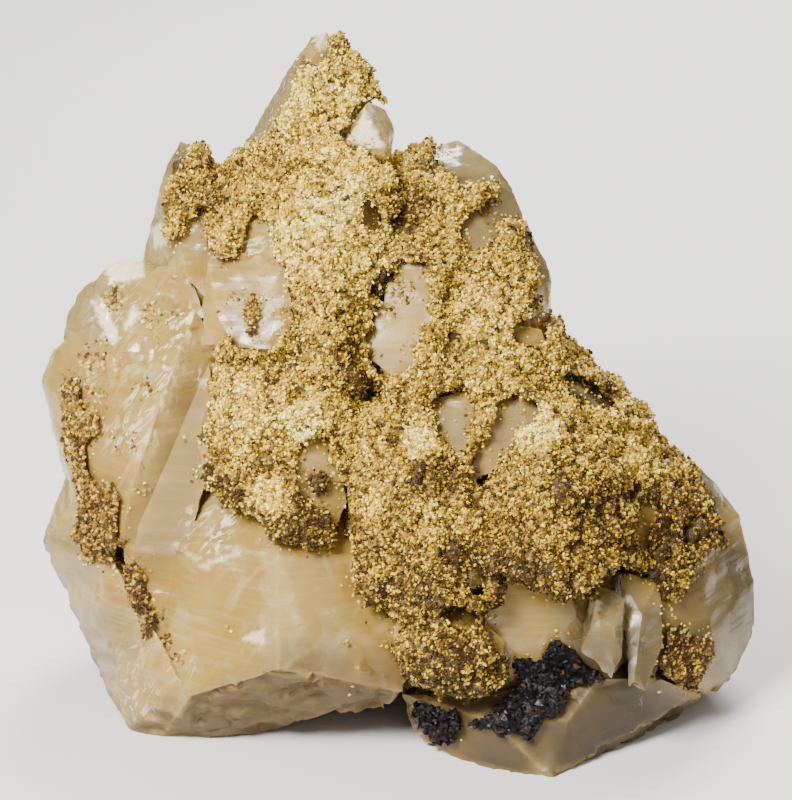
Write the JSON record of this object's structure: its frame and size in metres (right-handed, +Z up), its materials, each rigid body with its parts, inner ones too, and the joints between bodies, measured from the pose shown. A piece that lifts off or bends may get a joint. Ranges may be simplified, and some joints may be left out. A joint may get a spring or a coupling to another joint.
{
  "type": "guimaraesite specimen",
  "caption": "Broken-off cluster of milky to clear quartz crystals with a lumpy golden-tan guimaraesite crust over its front and upper edges, and dark brown crust low on the front.",
  "frame": {"origin": "on the surface the cluster stands on, below the middle of its bounding box", "axes": "+Z up, -Y towards the pictured front, +X to the viewer's right"},
  "size_m": [0.1014, 0.072, 0.0896],
  "materials": {
    "quartz": "milky to clear quartz, glassy on crystal faces, dull on breaks",
    "golden_crust": "golden-tan sparkling granular crust with brown pits",
    "dark_crust": "dark brown nodular crust, faintly shiny"
  },
  "bodies": {
    "root": {"quartz": "quartz", "crust_main": "golden_crust", "crust_left_margin": "golden_crust", "crust_groove": "golden_crust", "crust_prism_face": "golden_crust", "crust_right_low": "golden_crust", "crust_back": "golden_crust", "crust_knob": "golden_crust", "crust_dark_centre": "dark_crust", "crust_dark_left": "dark_crust"}
  },
  "joints": []
}
